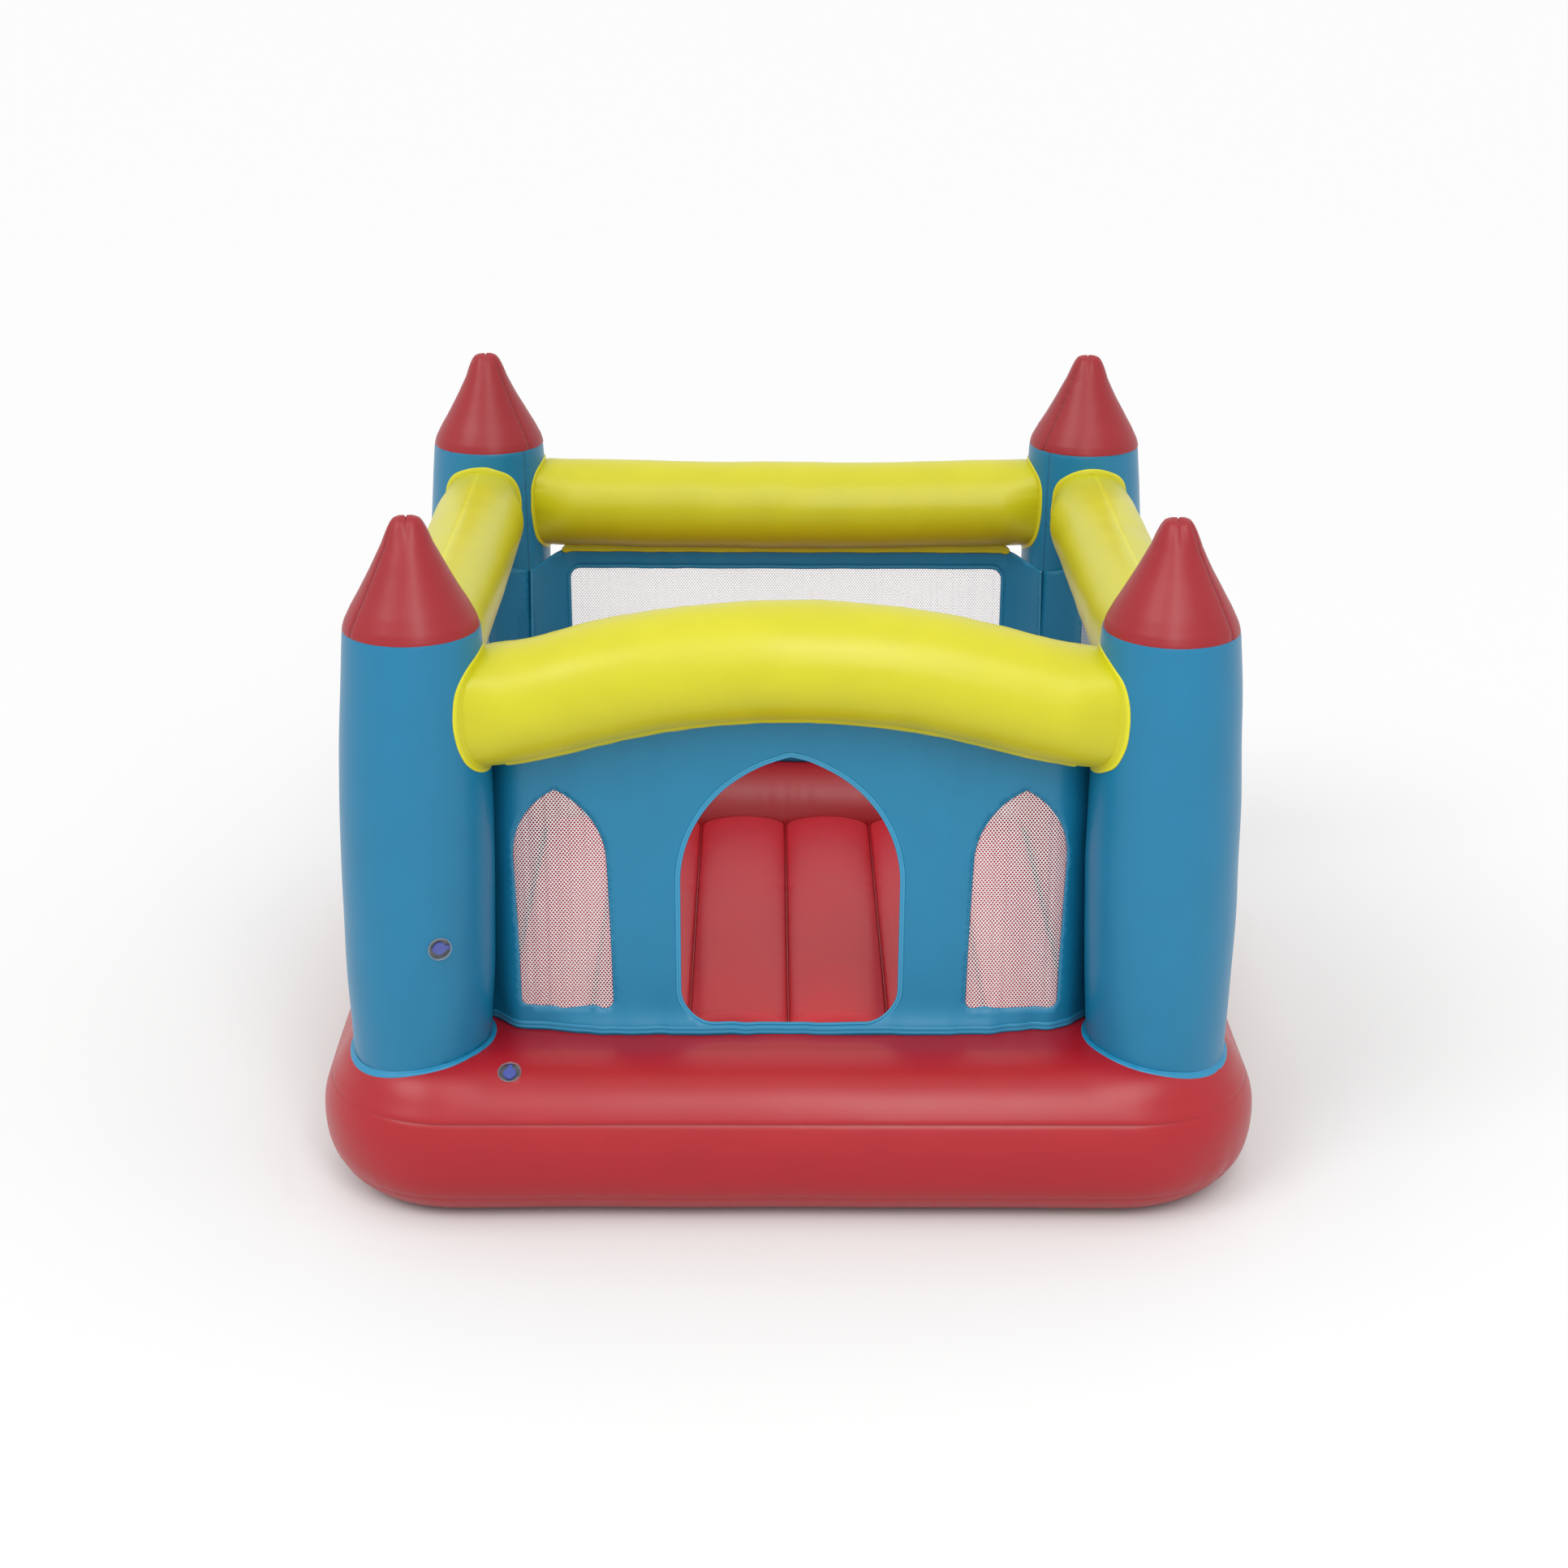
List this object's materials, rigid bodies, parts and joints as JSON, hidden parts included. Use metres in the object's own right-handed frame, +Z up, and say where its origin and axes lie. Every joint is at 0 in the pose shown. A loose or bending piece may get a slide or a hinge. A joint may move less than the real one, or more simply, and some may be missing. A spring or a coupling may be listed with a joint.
{
  "type": "inflatable bounce house",
  "caption": "Free-standing inflatable bounce house with corner towers, padded bars, film walls with mesh windows, a pointed doorway and a ring base.",
  "frame": {"origin": "on the ground at the centre of the base's footprint", "axes": "+Z up; +X the object's own left-to-right as seen from the entrance; the entrance faces -Y"},
  "size_m": [1.75, 1.73, 1.3],
  "materials": {
    "red_vinyl": "semi-gloss",
    "blue_vinyl": "semi-gloss",
    "yellow_vinyl": "semi-gloss",
    "mesh": "matte",
    "valve_vinyl": "soft translucent"
  },
  "bodies": {
    "bounce_house": {"base_tube": "red_vinyl", "base_valve_seat": "valve_vinyl", "bounce_floor": "red_vinyl", "door_rim": "blue_vinyl", "floor_webs": "red_vinyl", "front_arch_bar": "yellow_vinyl", "front_bar_welds": "yellow_vinyl", "front_hanging_strip": "yellow_vinyl", "front_hem": "blue_vinyl", "front_left_cone": "red_vinyl", "front_left_foot_weld": "blue_vinyl", "front_left_tower": "blue_vinyl", "front_left_wall_seam": "blue_vinyl", "front_left_window_mesh": "mesh", "front_right_cone": "red_vinyl", "front_right_foot_weld": "blue_vinyl", "front_right_tower": "blue_vinyl", "front_right_wall_seam": "blue_vinyl", "front_right_window_mesh": "mesh", "front_wall_panel": "blue_vinyl", "left_bar": "yellow_vinyl", "left_bar_welds": "yellow_vinyl", "left_hanging_strip": "blue_vinyl", "left_hem": "blue_vinyl", "left_wall_panel": "blue_vinyl", "left_window_mesh": "mesh", "rear_bar": "yellow_vinyl", "rear_bar_welds": "yellow_vinyl", "rear_hanging_strip": "blue_vinyl", "rear_hem": "blue_vinyl", "rear_left_cone": "red_vinyl", "rear_left_foot_weld": "blue_vinyl", "rear_left_tower": "blue_vinyl", "rear_left_wall_seam": "blue_vinyl", "rear_right_cone": "red_vinyl", "rear_right_foot_weld": "blue_vinyl", "rear_right_tower": "blue_vinyl", "rear_right_wall_seam": "blue_vinyl", "rear_wall_panel": "blue_vinyl", "rear_window_mesh": "mesh", "right_bar": "yellow_vinyl", "right_bar_welds": "yellow_vinyl", "right_hanging_strip": "blue_vinyl", "right_hem": "blue_vinyl", "right_wall_panel": "blue_vinyl", "right_window_mesh": "mesh", "tower_valve_seat": "valve_vinyl"},
    "base_valve_stem": {"base_valve_stem": "valve_vinyl"},
    "base_valve_cap": {"base_valve_cap": "valve_vinyl"},
    "base_valve_flap": {"base_valve_flap": "valve_vinyl"},
    "tower_valve_stem": {"tower_valve_stem": "valve_vinyl"},
    "tower_valve_cap": {"tower_valve_cap": "valve_vinyl"},
    "tower_valve_flap": {"tower_valve_flap": "valve_vinyl"}
  },
  "joints": [
    {"name": "base_valve_pull", "type": "slide", "parent": "bounce_house", "child": "base_valve_stem", "axis": [0, -0.454, 0.891], "range_m": [0, 0.014]},
    {"name": "base_valve_cap_hinge", "type": "hinge", "parent": "base_valve_stem", "child": "base_valve_cap", "pos_m": [-0.512, -0.799, 0.27616], "axis": [1, 0, 0], "range_deg": [0, 105]},
    {"name": "base_valve_flap_hinge", "type": "hinge", "parent": "base_valve_stem", "child": "base_valve_flap", "pos_m": [-0.512, -0.77604, 0.24387], "axis": [-1, 0, 0], "range_deg": [0, 60]},
    {"name": "tower_valve_pull", "type": "slide", "parent": "bounce_house", "child": "tower_valve_stem", "axis": [0.3584, -0.9336, 0], "range_m": [0, 0.014]},
    {"name": "tower_valve_cap_hinge", "type": "hinge", "parent": "tower_valve_stem", "child": "tower_valve_cap", "pos_m": [-0.64116, -0.79119, 0.534], "axis": [0, 0, -1], "range_deg": [0, 105]},
    {"name": "tower_valve_flap_hinge", "type": "hinge", "parent": "tower_valve_stem", "child": "tower_valve_flap", "pos_m": [-0.6498, -0.75251, 0.534], "axis": [0, 0, 1], "range_deg": [0, 60]}
  ]
}
